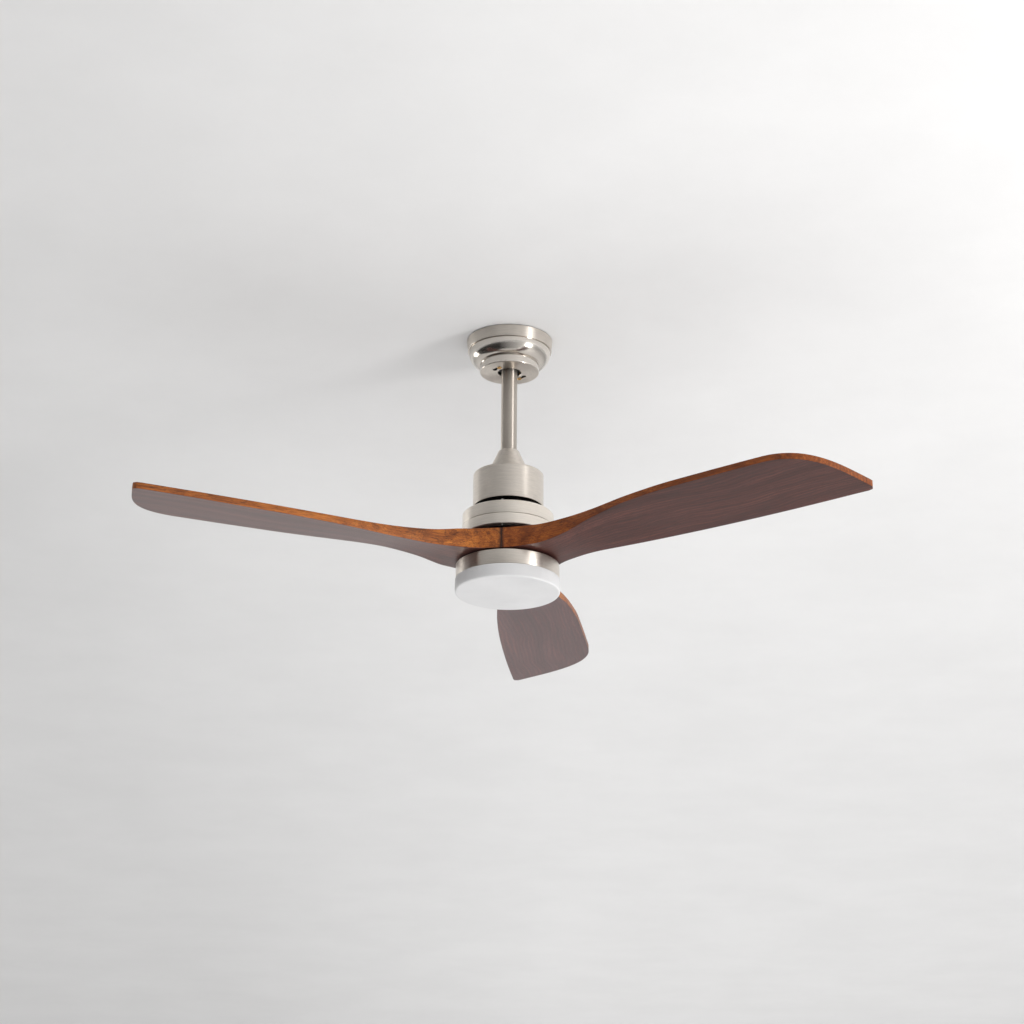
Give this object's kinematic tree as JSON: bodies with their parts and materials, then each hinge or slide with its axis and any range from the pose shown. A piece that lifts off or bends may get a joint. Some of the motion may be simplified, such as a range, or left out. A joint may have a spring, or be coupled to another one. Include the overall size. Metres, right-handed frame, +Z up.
{
  "type": "ceiling fan with light",
  "caption": "Ceiling fan with carved wooden blades on a flat brushed nickel motor, hung on a short downrod from a ball hanger, with a round frosted light below.",
  "frame": {"origin": "middle of the hanger bracket's top face, where it meets the ceiling, on the fan's own vertical axis", "axes": "+Z up to the ceiling, along the downrod and motor shaft; +X and +Y level, with the blades at 82.1, 202.1 and 322.1 degrees from +X"},
  "size_m": [1.1536, 1.0741, 0.454],
  "materials": {
    "brushed_nickel": "satin brushed nickel plate, polished bowl on the canopy",
    "nickel_shell": "brushed nickel over cast aluminium",
    "zinc_steel": "zinc plated",
    "brass": "bright",
    "black_paint": "matte black",
    "walnut": "stained and satin lacquered, fine grain",
    "frosted_acrylic": "frosted white",
    "black_nylon": "moulded",
    "grey_rubber": "matte",
    "copper_winding": "enamelled copper wire",
    "stator_steel": "laminated sheet",
    "ferrite": "dark grey",
    "green_board": "solder mask",
    "white_board": "white solder mask on aluminium",
    "white_plastic": "moulded",
    "black_jacket": "cable jacket"
  },
  "bodies": {
    "ceiling_mount": {"hanger_bracket": "zinc_steel", "canopy": "brushed_nickel", "canopy_screw_1": "brass", "canopy_screw_2": "brass", "terminal_block": "white_plastic"},
    "ball_seat": {"ball_seat_liner": "grey_rubber"},
    "hanging": {"hanger_ball": "black_nylon", "ball_pin": "zinc_steel", "ball_set_screw": "zinc_steel", "downrod": "brushed_nickel", "motor_yoke": "zinc_steel", "clevis_pin": "zinc_steel", "cotter_pin": "zinc_steel", "yoke_set_screw_1": "zinc_steel", "yoke_set_screw_2": "zinc_steel", "coupling_cover": "brushed_nickel", "upper_housing": "brushed_nickel", "housing_base": "black_paint", "control_board": "green_board", "motor_shaft": "zinc_steel", "stator_core": "stator_steel", "stator_windings": "copper_winding", "upper_bearing_inner_race": "zinc_steel", "lower_bearing_inner_race": "zinc_steel", "lead_cable": "black_jacket", "lead_plug": "white_plastic", "light_plate": "zinc_steel", "shaft_nut": "zinc_steel", "light_ring": "brushed_nickel", "led_board": "white_board", "led_driver": "white_plastic", "standoff_1": "brass", "standoff_2": "brass", "standoff_3": "brass", "board_screw_1": "zinc_steel", "board_screw_2": "zinc_steel", "board_screw_3": "zinc_steel"},
    "rotor": {"motor_shell_top": "nickel_shell", "motor_shell_bottom": "nickel_shell", "magnet_ring": "ferrite", "upper_bearing_outer_race": "zinc_steel", "lower_bearing_outer_race": "zinc_steel", "shell_screw_1": "zinc_steel", "shell_screw_2": "zinc_steel", "shell_screw_3": "zinc_steel", "shell_screw_4": "zinc_steel", "blade_flange": "black_paint", "blade_1": "walnut", "blade_2": "walnut", "blade_3": "walnut", "blade_screw_1": "zinc_steel", "blade_screw_2": "zinc_steel", "blade_screw_3": "zinc_steel", "blade_screw_4": "zinc_steel", "blade_screw_5": "zinc_steel", "blade_screw_6": "zinc_steel"},
    "light_cover": {"diffuser": "frosted_acrylic"}
  },
  "joints": [
    {"name": "swing_side", "type": "hinge", "parent": "ceiling_mount", "child": "ball_seat", "pos_m": [0, 0, -0.0345], "axis": [1, 0, 0], "range_deg": [-9, 9]},
    {"name": "swing_fore", "type": "hinge", "parent": "ball_seat", "child": "hanging", "pos_m": [0, 0, -0.0345], "axis": [0, 1, 0], "range_deg": [-9, 9]},
    {"name": "rotor_spin", "type": "hinge", "parent": "hanging", "child": "rotor", "pos_m": [0, 0, -0.3389], "axis": [0, 0, 1], "continuous": true},
    {"name": "diffuser_twist", "type": "hinge", "parent": "hanging", "child": "light_cover", "pos_m": [0, 0, -0.4304], "axis": [0, 0, 1], "range_deg": [0, 20]}
  ]
}
